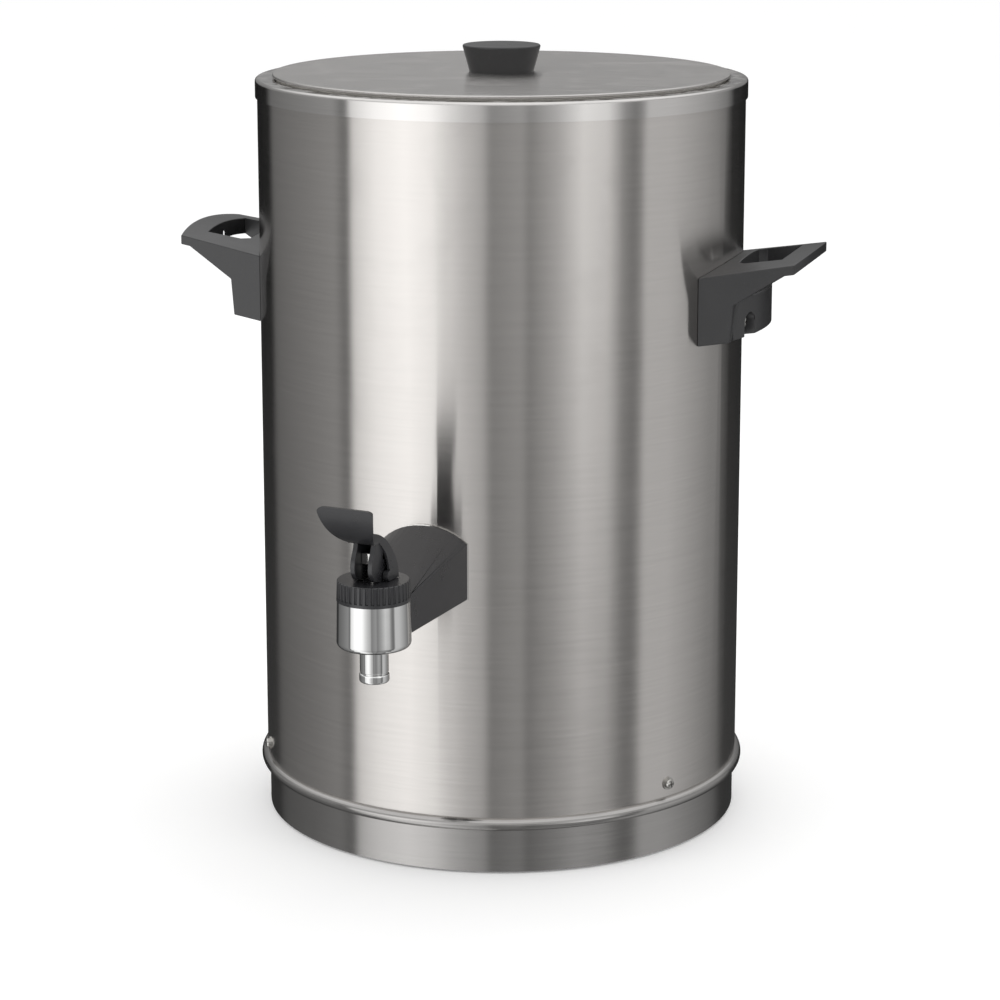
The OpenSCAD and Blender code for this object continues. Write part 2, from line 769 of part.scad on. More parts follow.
module appliance_inlet() {
    color(black) difference() {
        union() {
            block(inlet_w, inlet_h, inlet_face, inlet_face + inlet_flange_t);
            block(inlet_body[0], inlet_body[1], inlet_back, inlet_face + 1);
        }
        block(inlet_cup[0], inlet_cup[1], inlet_floor, inlet_face + 10);
        inlet_screw_holes(1.6 + bolt_clear);
        pin_bars(0);
    }
}

module inlet_pins() {
    color("gold") pin_bars(0);
}

module inlet_bezel() {
    color(black) difference() {
        block(bezel_w, bezel_h, body_r - 8, inlet_face);
        translate([0, 0, inlet_z - bezel_h]) cylinder(r = body_r, h = 2 * bezel_h);
        block(inlet_body[0] + 0.4, inlet_body[1] + 0.4, body_r - 10, inlet_face + 1);
        inlet_screw_holes(1.6 + bolt_clear);
    }
}

module inlet_screws() {
    color(bright) for (x = [-1, 1])
        translate([x * inlet_screw_x, inlet_face + inlet_flange_t, inlet_z])
            rotate([-90, 0, 0]) pan_screw(1.6, 14, 2.8, 1.8);
}

// ---- handles -------------------------------------------------------------------------------------

function top_line(x) = handle_z + (x - body_r) * tan(handle_slope);
function foot_line(x) = top_line(x) - handle_h - 0.6;

// The long cylinder whose upper side is the handle's crowned top
module crown_cylinder(drop) {
    translate([body_r, 0, handle_z + crown]) rotate([0, -handle_slope, 0])
        translate([-60, 0, -crown_r]) rotate([0, 90, 0]) cylinder(r = crown_r - drop, h = 160, $fn = 240);
}

// A side outline in x and z, drawn out evenly on both sides of the middle
module across(half) {
    rotate([90, 0, 0]) translate([0, 0, -half]) linear_extrude(2 * half) children();
}

module handle_plan() {
    slope = (handle_root_w - handle_tip_w) / (tip_corner - handle_in);
    intersection() {
        polygon([for (x = [body_r - handle_cut, handle_reach + 2], s = [-1, 1])
            [x, (x < body_r ? s : -s) * (handle_root_w - slope * (x - handle_in))]]);
        translate([handle_reach - bow_r, 0]) circle(r = bow_r, $fn = 240);
    }
}

module gussets() {
    intersection() {
        across(handle_root_w + 5) polygon([
            [body_r - handle_cut, top_line(body_r - handle_cut) + crown + 4],
            [handle_reach + 4, top_line(handle_reach + 4) + crown + 4],
            [handle_reach + 4, top_line(handle_reach + 4) - lip_t],
            [lip_start, top_line(lip_start) - lip_t],
            gusset_foot,
            [barrel_edge, foot_line(barrel_edge)],
            [body_r - handle_cut, foot_line(body_r - handle_cut)]]);
        translate([0, 0, handle_z - 80]) linear_extrude(140) handle_plan();
        crown_cylinder(0);
    }
}

module barrel() {
    intersection() {
        across(handle_root_w + 5) polygon([
            [body_r - handle_cut, foot_line(body_r - handle_cut)],
            [barrel_reach + 4, foot_line(barrel_reach + 4)],
            [barrel_reach + 4, barrel_top],
            [body_r - handle_cut, barrel_top]]);
        translate([0, 0, handle_z - 80]) linear_extrude(140) intersection() {
            handle_plan();
            translate([barrel_reach - barrel_r, 0]) circle(r = barrel_r, $fn = 240);
        }
    }
}

module finger_opening() {
    w = finger_w;
    translate([0, 0, barrel_top]) linear_extrude(60) intersection() {
        polygon([[finger_start, finger_corner - w], [finger_start + finger_corner, -w],
            [handle_reach + 9, -w], [handle_reach + 9, w], [finger_start + finger_corner, w],
            [finger_start, w - finger_corner]]);
        translate([handle_reach - bow_r, 0]) circle(r = bow_r - grip_w, $fn = 240);
    }
}

module screw_recess() {
    translate([screw_seat, 0, 0]) outwards() cylinder(r = recess_r, h = 20);
    translate([screw_seat, -recess_r, -30]) cube([20, 2 * recess_r, 30]);
}

module handle() {
    color(black) difference() {
        union() {
            gussets();
            barrel();
        }
        translate([0, 0, handle_z - 90]) cylinder(r = body_r, h = 160);
        finger_opening();
        intersection() {
            crown_cylinder(lip_t);
            union() {
                translate([lip_start, -100, handle_z - 80]) cube([40, 200, 160]);
                translate([handle_reach - grip_w, -finger_w, handle_z - 80])
                    cube([40, 2 * finger_w, 160]);
            }
        }
        for (s = [-1, 1]) translate([0, s * handle_screw_y, handle_screw_z]) {
            screw_recess();
            translate([body_r - 20, 0, 0]) outwards() cylinder(r = m4_r + bolt_clear, h = 40);
        }
    }
}

module handle_right() {
    handle();
}

module handle_left() {
    rotate(180) handle();
}

module handle_screws() {
    color(bright) for (s = [-1, 1])
        translate([screw_seat, s * handle_screw_y, handle_screw_z])
            outwards() pan_screw(m4_r, handle_screw_l, 4.2, 3);
}

module handle_screws_right() {
    handle_screws();
}

module handle_screws_left() {
    rotate(180) handle_screws();
}

// A curved plate inside the shell, with a nut welded behind each screw hole
module backing() {
    plate_in = shell_in - backing_t;
    low = handle_screw_z - backing_h / 2;
    nut_face = sqrt(plate_in * plate_in - handle_screw_y * handle_screw_y) + 0.4;
    color("silver") difference() {
        union() {
            intersection() {
                ring(plate_in, shell_in, low, low + backing_h);
                translate([body_r / 2, -backing_half, low]) cube([body_r, 2 * backing_half, backing_h]);
            }
            for (s = [-1, 1]) translate([nut_face - weld_nut_h, s * handle_screw_y, handle_screw_z])
                outwards() cylinder(d = weld_nut_d, h = weld_nut_h, $fn = 6);
        }
        for (s = [-1, 1]) translate([nut_face - weld_nut_h - 1, s * handle_screw_y, handle_screw_z])
            outwards() cylinder(r = m4_r, h = 14);
    }
}

module handle_backing_right() {
    backing();
}

module handle_backing_left() {
    rotate(180) backing();
}

// ---- tap -----------------------------------------------------------------------------------------

// A cylinder along the shank's line, between two distances from the urn's axis
module along_shank(r, from, to) {
    translate([0, -from, shank_z]) rotate([90, 0, 0]) cylinder(r = r, h = to - from);
}

module tap_body() {
    color(bright) difference() {
        union() {
            translate([0, -tap_reach, 0]) rotate_extrude() polygon(concat(
                [[0, tap_z]], arc([tap_r - tap_round, tap_z + tap_round], tap_round, -90, 0, 8),
                [[tap_r - tap_draft, tap_top], [0, tap_top]]));
            along_shank(shank_r, shank_end, tap_reach - chamber_r + 1);
        }
        translate([0, -tap_reach, chamber_z]) cylinder(r = chamber_r, h = tap_h);
        translate([0, -tap_reach, tap_z - 1]) cylinder(r = neck_r, h = 8);
        along_shank(shank_bore / 2, shank_end - 1, tap_reach - chamber_r / 2);
    }
}

module tap_spout() {
    bore = spout_bore / 2;
    r = spout_d / 2;
    groove_z = spout_end + spout_rim_h;
    rim = r + spout_rim;
    color(bright) translate([0, -tap_reach, 0]) rotate_extrude() polygon(concat(
        [[bore, spout_end + 1], [bore + 1, spout_end]],
        arc([rim - 1.6, spout_end + 1.6], 1.6, -80, 0, 5),
        arc([rim - 1, groove_z - 1], 1, 0, 90, 4),
        [[r - spout_rim, groove_z], [r - spout_rim, groove_z + 0.8], [r, groove_z + 1.2],
         [r, tap_z], [neck_r, tap_z], [neck_r, chamber_z], [bore + 1.2, seat_z], [bore, seat_z]]));
}

module tap_bonnet() {
    flute_foot = 2;
    edge = 0.6;
    top_r = bonnet_r - bonnet_draft;
    color(black) translate([0, -tap_reach, 0]) difference() {
        union() {
            translate([0, 0, tap_top]) rotate_extrude() polygon([[0, 0], [bonnet_r, 0],
                [top_r, bonnet_h - edge], [top_r - edge, bonnet_h], [0, bonnet_h]]);
            translate([0, 0, tap_top - plug_h]) cylinder(r = chamber_r, h = plug_h + 1);
        }
        for (i = [0:bonnet_flutes - 1]) rotate(360 * i / bonnet_flutes)
            translate([top_r + 0.35, 0, tap_top + flute_foot]) cylinder(r = 0.95, h = bonnet_h, $fn = 24);
        translate([0, 0, tap_top - plug_h - 1]) cylinder(r = chamber_r - 3, h = plug_h + 1);
        translate([0, 0, tap_top - 1]) cylinder(r = spring_r + 1.6, h = spring_top - tap_top + 1);
        translate([0, 0, tap_top]) cylinder(r = stem_r + run_clear, h = bonnet_h + 1);
    }
}

module bonnet_seal() {
    color("#c9c3b8") translate([0, -tap_reach, 0])
        ring(chamber_r - 2.6, chamber_r - 0.1, tap_top - plug_h - 1.8, tap_top - plug_h);
}

// The arm's arched outline: x across and z up
function arch_outline(w, foot, side, rise, n = 12) =
    let (r = (w * w + rise * rise) / (2 * rise), half = asin(w / r))
    concat([[-w, foot], [w, foot]], arc([0, side + rise - r], r, 90 - half, 90 + half, n));

arm_ends = [body_r - 10, tap_reach - 13];  // distances of the arm's two ends from the urn's axis
arm_halves = [arm_w / 2 + 0.9, arm_tap_w / 2];
arm_sides = [arm_side_h, arm_tap_h];
arm_rises = [arm_arch, 0.6];
arm_feet = [arm_foot, arm_foot - arm_drop];

module arm_slice(i, wall) {
    foot = wall > 0 ? arm_feet[i] - 5 : arm_feet[i];
    side = arm_feet[i] + arm_sides[i] - wall;
    translate([0, -arm_ends[i], 0]) rotate([90, 0, 0]) linear_extrude(0.1)
        polygon(arch_outline(arm_halves[i] - wall, foot, side, arm_rises[i]));
}

module arm_hull(wall) {
    hull() {
        arm_slice(0, wall);
        arm_slice(1, wall);
    }
}

module tap_arm_cover() {
    color(black) difference() {
        arm_hull(0);
        arm_hull(arm_wall);
        translate([0, 0, arm_foot - 20]) cylinder(r = body_r + plate_sheet, h = 90);
        translate([0, -tap_reach, arm_foot - 20]) cylinder(r = tap_r + seat_clear, h = 90);
    }
}

// A plate with the arm's own outline where the arm meets it, a little larger all round
module tap_mount_plate() {
    t = (body_r + plate_sheet - arm_ends[0]) / (arm_ends[1] - arm_ends[0]);
    half = arm_halves[0] + t * (arm_halves[1] - arm_halves[0]);
    side = arm_sides[0] + t * (arm_sides[1] - arm_sides[0]);
    rise = arm_rises[0] + t * (arm_rises[1] - arm_rises[0]);
    foot = arm_foot - plate_edge;
    color(bright) difference() {
        intersection() {
            ring(body_r, body_r + plate_sheet, foot - 5, arm_foot + side + rise + 10);
            translate([0, -body_r + 20, 0]) rotate([90, 0, 0]) linear_extrude(40)
                polygon(arch_outline(half + plate_edge, foot, arm_foot + side, rise + plate_edge));
        }
        along_shank(shank_r + seat_clear, body_r - 5, body_r + 5);
    }
}

module shank_locknut() {
    color(bright) translate([0, -vessel_r - seal_t, shank_z]) rotate([90, 0, 0])
        hex_nut(nut_af, 4, shank_r);
}

module shank_outer_seal() {
    color("#c9c3b8") difference() {
        along_shank(nut_af / 2 + 1, vessel_r - 2, vessel_r + seal_t);
        translate([0, 0, shank_z - 20]) cylinder(r = vessel_r, h = 40, $fn = 360);
        along_shank(shank_r, vessel_r - 5, vessel_r + 5);
    }
}

module shank_inner_seal() {
    color("#c9c3b8") difference() {
        intersection() {
            along_shank(nut_af / 2 + 1, vessel_in - seal_t, vessel_r);
            translate([0, 0, shank_z - 20]) cylinder(r = vessel_in, h = 40, $fn = 360);
        }
        along_shank(shank_r, vessel_in - 5, vessel_r + 1);
    }
}

module shank_inner_nut() {
    color(bright) translate([0, -vessel_in + seal_t + 5, shank_z]) rotate([90, 0, 0])
        hex_nut(nut_af, 5, shank_r);
}

module tang_outline() {
    polygon([[-tang_back, tang_foot], [tang_front - 1, tang_foot], [tang_front, tang_foot + 1],
        [tang_front, tang_top - 1], [tang_front - 1, tang_top], [1.5 - tang_back, tang_top],
        [-tang_back, tang_top - 1.5]]);
}

module valve_stem() {
    color(bright) difference() {
        union() {
            translate([0, -tap_reach, stem_foot]) {
                cylinder(r = stem_r, h = pin_z + tang_foot + 1 - stem_foot);
                cylinder(r = 5, h = 2);
            }
            translate([0, -tap_reach, collar_z]) cylinder(r = collar_r, h = collar_t);
            on_pin() side_plate(-tang_w / 2, tang_w / 2) tang_outline();
        }
        on_pin() pin_line(pin_r + run_clear, tang_w);
    }
}

module seat_cup() {
    color("#c9c3b8") translate([0, -tap_reach, seat_z]) difference() {
        rotate_extrude() polygon([[0, 0], [cup_r - 1.5, 0], [cup_r, 1.5], [cup_r, 3],
            [cup_r - 2, cup_h + 1], [0, cup_h + 1]]);
        translate([0, 0, stem_foot - seat_z]) cylinder(r = 5, h = 2);
        translate([0, 0, stem_foot - seat_z]) cylinder(r = stem_r, h = cup_h + 2);
    }
}

module valve_spring() {
    foot = collar_z + collar_t + spring_wire / 2;
    head = spring_top - spring_wire / 2;
    steps = 12;
    path = [for (i = [0:spring_turns * steps]) let (a = 360 * i / steps, t = i / (spring_turns * steps))
        [spring_r * cos(a), spring_r * sin(a), foot + (head - foot) * t]];
    color("silver") translate([0, -tap_reach, 0]) tube(path, spring_wire / 2, 6);
}

// ---- lever ---------------------------------------------------------------------------------------

// The cam's edge: the valve's lift grows evenly with the lever's angle
function cam_point(a) =
    let (h = cam_pitch * a * PI / 180 - lever_foot)
    [h * sin(a) + cam_pitch * cos(a), cam_pitch * sin(a) - h * cos(a)];

// Puts a shape drawn in the frame on the pin, with y ahead, where the lever is
module on_pin() {
    translate([0, -tap_reach, pin_z]) rotate(-lever_turn) mirror([0, 1, 0]) children();
}

// A side outline, y ahead and z up, drawn out between two places across
module side_plate(x0, x1) {
    translate([x0, 0, 0]) rotate([90, 0, 90]) linear_extrude(x1 - x0) children();
}

// An outline across and up, drawn out through the whole lever
module front_plate() {
    translate([0, 60, 0]) rotate([90, 0, 0]) linear_extrude(90) children();
}

module pin_line(r, half) {
    translate([-half, 0, 0]) rotate([0, 90, 0]) cylinder(r = r, h = 2 * half);
}

module cheek_outline() {
    toe = cam_point(lever_swing);
    polygon(concat(
        [for (i = [0:6]) cam_point(lever_swing * i / 6)],
        smooth([toe, [toe[0] + 2.2, lever_foot + 5], [15.6, -5.5], [14.6, 0], [12.2, 5],
            [10.6, roof_z + 1]]),
        smooth([[-1.5, roof_z + 1], [-4.6, 4], [-5, -2], [-4, lever_foot + 6], [-1.2, lever_foot + 1.7],
            [2, lever_foot + 0.1]])));
}

// The hood in side view: up the back, over the roof, and down the front edge of its walls
module hood_side() {
    polygon(concat(
        smooth([[-hood_rear, lever_foot], [-hood_rear, -7], [1.4 - hood_rear, 0], [-4.6, 7], [1.5, 12],
            [9, 15.4], [17, 17.6], [23, 21]]),
        [[paddle_root[0] + 4, roof_z + 1.5], paddle_root, [7, roof_z]],
        smooth([[7, roof_z], [1.8, 3], [0.6, -2], [0.8, lever_foot + lug_h]]),
        [[0.8, lever_foot]]));
}

module hood_hollow_side() {
    back = hood_rear - hood_back_wall;
    polygon(concat([[30, roof_z], [30, -30], [-back, -30]],
        smooth([[-back, -7], [1.2 - back, -0.5], [-2.8, 5.5], [3, roof_z]])));
}

// The hood seen from behind, or its hollow where the wall is above 0
module hood_front(wall) {
    right = smooth([[hood_foot_w - wall, lever_foot], [hood_foot_w - 0.2 - wall, -9],
        [10.3 - wall, -2], [8.6 - wall, 5], [fork_out + 0.3 - wall, roof_z + 3]]);
    edge = concat([[hood_foot_w - wall, -40]], right, [[fork_out + 0.3 - wall, 40]]);
    last = len(edge) - 1;
    polygon(concat(edge, [for (i = [0:last]) [-edge[last - i][0], edge[last - i][1]]]));
}

module lug_outline() {
    top = lever_foot + lug_h;
    polygon(concat([[1 - hood_rear, lever_foot]], arc([lug_front - 2, lever_foot + 2], 2, -90, 0, 5),
        arc([lug_front - 3, top - 3], 3, 0, 90, 5), [[1 - hood_rear, top]]));
}

module hood() {
    difference() {
        intersection() {
            side_plate(-20, 20) hood_side();
            front_plate() hood_front(0);
        }
        intersection() {
            side_plate(-20, 20) hood_hollow_side();
            front_plate() hood_front(hood_wall);
        }
    }
    intersection() {
        for (s = [-1, 1]) side_plate(s > 0 ? fork_out + 0.6 : -20, s > 0 ? 20 : -fork_out - 0.6)
            lug_outline();
        front_plate() hood_front(0);
    }
}

// The paddle: a curved leaf that widens towards its tip and has rounded corners there
module paddle() {
    w = paddle_w / 2;
    widen = (w - paddle_root_w) / (paddle_tip[0] - paddle_root[0]);
    beyond = paddle_tip[0] + 5;
    intersection() {
        side_plate(-w, w) polygon(concat(
            arc(paddle_centre, paddle_r, paddle_rise[0] - 90, paddle_rise[1] - 90, 16),
            arc(paddle_centre, paddle_r - paddle_t, paddle_rise[1] - 90, paddle_rise[0] - 90, 16)));
        translate([0, 0, -5]) linear_extrude(80) polygon([
            for (y = [paddle_root[0] - 5, beyond], s = [-1, 1])
                [(y < beyond ? s : -s) * (paddle_root_w + widen * (y - paddle_root[0])), y]]);
        front_plate() polygon(concat([[-w, 0], [w, 0]],
            arc([w - paddle_corner, paddle_tip[1] - paddle_corner], paddle_corner, 0, 90, 8),
            arc([paddle_corner - w, paddle_tip[1] - paddle_corner], paddle_corner, 90, 180, 8)));
    }
}

module tap_lever() {
    color(black) on_pin() difference() {
        union() {
            side_plate(fork_in, fork_out) cheek_outline();
            side_plate(-fork_out, -fork_in) cheek_outline();
            hood();
            paddle();
        }
        pin_line(pin_r, fork_out + 0.05);
    }
}

module lever_pin() {
    color(bright) on_pin() pin_line(pin_r, fork_out);
}

// ---- lid -----------------------------------------------------------------------------------------

module lid_disc() {
    hem_in = lid_r - lid_hem_w;
    edge = lid_edge / 2;
    color(steel) difference() {
        rotate_extrude() polygon(concat(
            [[0, lid_top - lid_t], [hem_in, lid_top - lid_t], [hem_in, lid_under]],
            arc([lid_r - edge, lid_under + edge], edge, -90, 90, 8), [[0, lid_top]]));
        translate([0, 0, lid_under]) cylinder(r = knob_screw_r + bolt_clear, h = 5);
    }
}

module lid_pan() {
    top = lid_top - lid_t;
    corner = 5;
    color(steel) rotate_extrude() polygon(concat(
        [[0, pan_z]], arc([pan_r - corner, pan_z + corner], corner, -90, 0, 6),
        [[pan_r, top - pan_t], [mouth_r + 0.5, top - pan_t], [mouth_r + 0.5, top], [pan_r - pan_t, top]],
        arc([pan_r - corner, pan_z + corner], corner - pan_t, 0, -90, 6), [[0, pan_z + pan_t]]));
}

module lid_insulation() {
    top = lid_top - lid_t;
    r = pan_r - pan_t - seat_clear;
    color(wool) difference() {
        rotate_extrude() polygon([[0, pan_z + pan_t + seat_clear], [r - 5, pan_z + pan_t + seat_clear],
            [r, pan_z + pan_t + 5], [r, top - seat_clear], [0, top - seat_clear]]);
        translate([0, 0, top - 6]) cylinder(r = 10.5, h = 8);
    }
}

module lid_seal() {
    color("#c9c3b8") ring(mouth_r + 1.2, lid_r - lid_hem_w - seat_clear, rim_top, lid_top - lid_t);
}

module lid_knob() {
    foot = knob_foot_d / 2;
    head = knob_top_d / 2;
    color(black) translate([0, 0, lid_top]) difference() {
        rotate_extrude() polygon(concat([[0, 0], [foot, 0], [foot + 0.2, 1]],
            arc([head - knob_round, knob_h - knob_round], knob_round, -10, 90, 8), [[0, knob_h]]));
        translate([0, 0, -1]) cylinder(r = knob_screw_r, h = 12);
    }
}

module knob_screw() {
    under = lid_top - lid_t;
    color(bright) {
        ring(knob_screw_r + bolt_clear, 9, under - 1, under);
        translate([0, 0, under - 1]) mirror([0, 0, 1]) pan_screw(knob_screw_r, knob_screw_l, 4.8, 3);
    }
}

outer_shell();
base_ring();
base_support_ring();
base_plate();
base_plate_screws();
base_ring_screws();
base_ring_washers();
feet();
foot_screws();
rim_ring();
inner_vessel();
insulation_jacket();
insulation_pad();
heat_shield();
shield_nut();
heater_plate();
heating_element();
heater_clamp();
heater_nut();
control_thermostat();
thermal_cutout();
thermostat_brackets();
bracket_nuts();
live_wire();
neutral_wire();
earth_wire();
link_wires();
earth_nut();
appliance_inlet();
inlet_pins();
inlet_bezel();
inlet_screws();
handle_left();
handle_right();
handle_screws_left();
handle_screws_right();
handle_backing_left();
handle_backing_right();
tap_body();
tap_spout();
tap_bonnet();
bonnet_seal();
tap_arm_cover();
tap_mount_plate();
shank_locknut();
shank_outer_seal();
shank_inner_seal();
shank_inner_nut();
valve_stem();
seat_cup();
valve_spring();
tap_lever();
lever_pin();
lid_disc();
lid_pan();
lid_insulation();
lid_seal();
lid_knob();
knob_screw();
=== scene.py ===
import math

import bmesh
import bpy
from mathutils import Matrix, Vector


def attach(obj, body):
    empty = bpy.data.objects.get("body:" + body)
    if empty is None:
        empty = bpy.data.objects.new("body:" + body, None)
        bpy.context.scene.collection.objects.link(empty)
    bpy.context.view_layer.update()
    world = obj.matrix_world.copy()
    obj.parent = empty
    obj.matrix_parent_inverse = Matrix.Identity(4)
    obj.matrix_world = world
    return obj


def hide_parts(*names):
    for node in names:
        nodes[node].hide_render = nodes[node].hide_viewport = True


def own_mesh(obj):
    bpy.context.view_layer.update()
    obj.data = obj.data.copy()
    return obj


MM = 0.001
WHITE = (1, 1, 1, 1)

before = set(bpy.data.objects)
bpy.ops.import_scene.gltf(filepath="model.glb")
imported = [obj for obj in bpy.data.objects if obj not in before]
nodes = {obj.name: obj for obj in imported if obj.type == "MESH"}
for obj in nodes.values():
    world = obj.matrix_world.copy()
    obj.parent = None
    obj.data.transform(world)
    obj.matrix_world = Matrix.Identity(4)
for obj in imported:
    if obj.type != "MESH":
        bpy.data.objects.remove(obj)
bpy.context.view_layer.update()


# ---------------------------------------------------------------- camera
# It stands in front of the urn, to the right of the tap, and looks down on it through a long lens.

CAMERA_AZIMUTH = math.radians(17.5)   # round the urn, from the tap's side
CAMERA_YAW = math.radians(0.029)      # turn away from the urn's axis
CAMERA_TILT = math.radians(12.637)    # downwards
CAMERA_DISTANCE = 1.9804              # from the urn's axis, in metres
CAMERA_HEIGHT = 0.693                 # above the floor, in metres
CAMERA_LENS = 108.57                  # in millimetres
CAMERA_SENSOR = 36                    # in millimetres
CAMERA_SHIFT = -0.06                  # as a share of the frame


def photo_camera():
    """The camera at the photograph's viewing angle."""
    data = bpy.data.cameras.new("camera")
    data.lens = CAMERA_LENS
    data.sensor_width = CAMERA_SENSOR
    data.shift_y = CAMERA_SHIFT
    camera = bpy.data.objects.new("camera", data)
    camera.location = (CAMERA_DISTANCE * math.sin(CAMERA_AZIMUTH),
                       -CAMERA_DISTANCE * math.cos(CAMERA_AZIMUTH), CAMERA_HEIGHT)
    azimuth = CAMERA_AZIMUTH + CAMERA_YAW
    look = Vector((-math.sin(azimuth) * math.cos(CAMERA_TILT),
                   math.cos(azimuth) * math.cos(CAMERA_TILT), -math.sin(CAMERA_TILT)))
    camera.rotation_mode = "QUATERNION"
    camera.rotation_quaternion = look.to_track_quat("-Z", "Y")
    bpy.context.scene.collection.objects.link(camera)
    return camera


bpy.context.scene.camera = photo_camera()
bpy.context.scene.view_settings.view_transform = "Standard"

# ---------------------------------------------------------------- node helpers
# Patterns read Object coordinates, which are in metres: a scale of 900 is 900 cells to the metre.


class Graph:
    """A node tree, with short ways to add a node and to join two sockets."""

    def __init__(self, tree):
        self.tree = tree

    def add(self, kind, inputs=None, **settings):
        """A new node with its settings, and with a value or a link at each of the named inputs."""
        node = self.tree.nodes.new(kind)
        for key, value in settings.items():
            setattr(node, key, value)
        for key, value in (inputs or {}).items():
            self.feed(node.inputs[key], value)
        return node

    def feed(self, socket, value):
        """Links a socket to an input, or sets the input to a plain value."""
        if isinstance(value, bpy.types.NodeSocket):
            self.tree.links.new(value, socket)
        else:
            socket.default_value = value

    def math(self, operation, *values, clamp=False):
        node = self.add("ShaderNodeMath", operation=operation, use_clamp=clamp)
        for index, value in enumerate(values):
            self.feed(node.inputs[index], value)
        return node.outputs[0]

    def vector(self, operation, *values):
        node = self.add("ShaderNodeVectorMath", operation=operation)
        for index, value in enumerate(values):
            self.feed(node.inputs[index], value)
        return node.outputs["Value" if operation == "DOT_PRODUCT" else "Vector"]

    def spread(self, value, low, high, start=0.0, end=1.0):
        """The stretch from start to end drawn out to the one from low to high, and held there."""
        node = self.add("ShaderNodeMapRange", {"Value": value, "From Min": start, "From Max": end,
                                               "To Min": low, "To Max": high})
        return node.outputs["Result"]

    def ramp(self, value, stops):
        """A grey ramp through (place, brightness) stops."""
        node = self.add("ShaderNodeValToRGB", {"Fac": value})
        elements = node.color_ramp.elements
        while len(elements) < len(stops):
            elements.new(0.5)
        for element, (place, brightness) in zip(elements, stops):
            element.position = place
            element.color = (brightness, brightness, brightness, 1)
        return node.outputs["Color"]

    def mix(self, share, first, second):
        """The first colour where share is 0, and the second where it is 1."""
        node = self.add("ShaderNodeMix", data_type="RGBA")
        self.feed(node.inputs[0], share)
        for socket, value in ((node.inputs[6], first), (node.inputs[7], second)):
            self.feed(socket, (*value, 1) if isinstance(value, tuple) else value)
        return node.outputs[2]

    def noise(self, place, scale, detail=2.0, rough=0.5, warp=0.0):
        node = self.add("ShaderNodeTexNoise", {"Vector": place, "Scale": scale, "Detail": detail,
                                               "Roughness": rough, "Distortion": warp})
        return node.outputs["Fac"]


def effect(name, inputs, outputs):
    """A new node group: its graph, the sockets that it is given and the ones that it fills."""
    group = bpy.data.node_groups.new(name, "ShaderNodeTree")
    for label, kind in inputs:
        group.interface.new_socket(name=label, in_out="INPUT", socket_type=kind)
    for label in outputs:
        group.interface.new_socket(name=label, in_out="OUTPUT", socket_type="NodeSocketFloat")
    graph = Graph(group)
    start = graph.add("NodeGroupInput")
    end = graph.add("NodeGroupOutput")
    return graph, start.outputs, end.inputs


def brushing_effect():
    """Fine parallel scratches, stretched along the way the sheet was brushed."""
    coarser = (0.31, 0.31, 0.31)
    fine_share = 0.65
    graph, given, result = effect(
        "brushing", [("Place", "NodeSocketVector"), ("Stretch", "NodeSocketVector")],
        ["Lines", "Patches"])
    drawn = graph.vector("MULTIPLY", given["Place"], given["Stretch"])
    fine = graph.noise(drawn, 1.0, detail=3, rough=0.62)
    coarse = graph.noise(graph.vector("MULTIPLY", drawn, coarser), 1.0, detail=2)
    both = graph.math("ADD", graph.math("MULTIPLY", fine, fine_share),
                      graph.math("MULTIPLY", coarse, 1 - fine_share))
    graph.feed(result["Lines"], graph.spread(both, 0, 1, 0.3, 0.7))
    patches = graph.noise(given["Place"], 9.0, detail=3, rough=0.55, warp=0.4)
    graph.feed(result["Patches"], graph.spread(patches, 0, 1, 0.32, 0.68))
    return graph.tree


def sheet_waves_effect():
    """The slight unevenness of a rolled sheet, which bends what it mirrors."""
    slow_scale, quick_scale = (16, 16, 9), (55, 55, 34)
    quick_height = 0.16
    graph, given, result = effect("sheet_waves", [("Place", "NodeSocketVector")], ["Height"])
    slow, quick = (graph.noise(graph.vector("MULTIPLY", given["Place"], scale), 1.0, detail=1.0)
                   for scale in (slow_scale, quick_scale))
    graph.feed(result["Height"], graph.math("ADD", slow, graph.math("MULTIPLY", quick, quick_height)))
    return graph.tree


def moulding_effect():
    """The fine spark-eroded texture of a moulded plastic, with a faint flow in its gloss."""
    finer, fine_height = 1.7, 0.6
    graph, given, result = effect(
        "moulding", [("Place", "NodeSocketVector"), ("Grain", "NodeSocketFloat")], ["Height", "Flow"])
    cells = graph.add("ShaderNodeTexVoronoi", {"Vector": given["Place"], "Scale": given["Grain"]})
    fine = graph.noise(given["Place"], graph.math("MULTIPLY", given["Grain"], finer), detail=2)
    graph.feed(result["Height"], graph.math("ADD", cells.outputs["Distance"],
                                            graph.math("MULTIPLY", fine, fine_height)))
    flow = graph.noise(given["Place"], 34.0, detail=4, rough=0.6, warp=0.8)
    graph.feed(result["Flow"], graph.spread(flow, 0, 1, 0.3, 0.7))
    return graph.tree


def handling_effect():
    """Faint dust and finger smudges: wide soft patches with fine specks in them."""
    graph, given, result = effect("handling", [("Place", "NodeSocketVector")], ["Smudges", "Dust"])
    patches = graph.noise(given["Place"], 21.0, detail=5, rough=0.62, warp=1.1)
    graph.feed(result["Smudges"], graph.spread(patches, 0, 1, 0.5, 0.75))
    specks = graph.noise(given["Place"], 900.0, detail=2, rough=0.7)
    graph.feed(result["Dust"], graph.spread(specks, 0, 1, 0.62, 0.74))
    return graph.tree


BRUSHING = brushing_effect()
SHEET_WAVES = sheet_waves_effect()
MOULDING = moulding_effect()
HANDLING = handling_effect()


